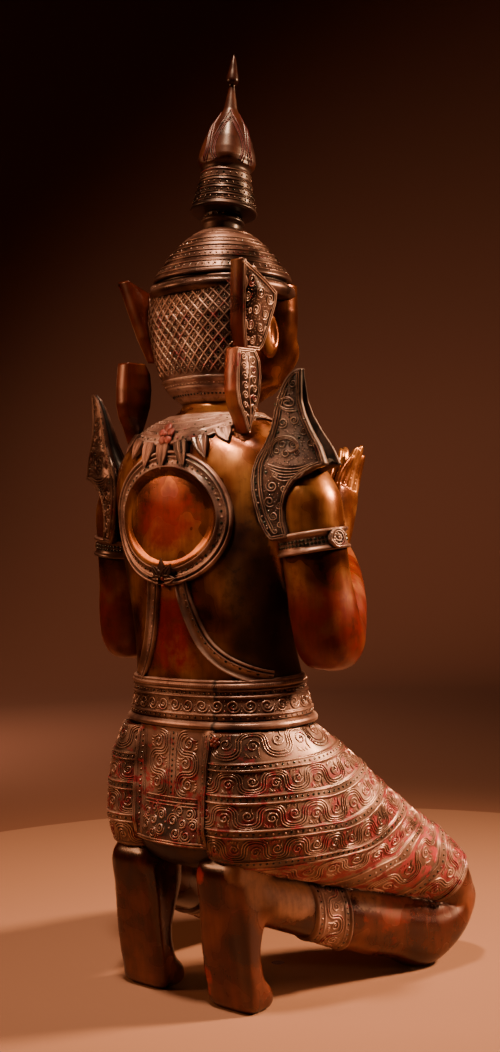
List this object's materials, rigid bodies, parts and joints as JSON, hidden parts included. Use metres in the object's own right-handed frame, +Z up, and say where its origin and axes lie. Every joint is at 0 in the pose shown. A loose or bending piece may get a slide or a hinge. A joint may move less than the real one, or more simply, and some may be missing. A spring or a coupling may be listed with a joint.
{
  "type": "theppanom statue",
  "caption": "Kneeling worshipping deity in carved, lacquered and gilded wood, with joined hands, a tiered spired crown, flared shoulder ornaments and a banded wrapped skirt.",
  "frame": {"origin": "on the floor, under the middle of the figure's outline", "axes": "+Z up, the figure faces -Y, its left side is +X"},
  "size_m": [0.5024, 0.4822, 1.4012],
  "materials": {
    "gilded_lacquer": "satin gilding over red lacquer on carved wood",
    "relief_bronze": "dull gilded relief on carved wood, red in its recesses",
    "red_lacquer": "satin red-brown lacquer on carved wood"
  },
  "bodies": {
    "root": {"body": "gilded_lacquer", "crown_finial": "relief_bronze", "ear_wing_left": "red_lacquer", "ear_wing_right": "red_lacquer", "ear_pendant_left": "red_lacquer", "ear_pendant_right": "red_lacquer", "shoulder_flare_left": "relief_bronze", "shoulder_flare_right": "relief_bronze"}
  },
  "joints": []
}
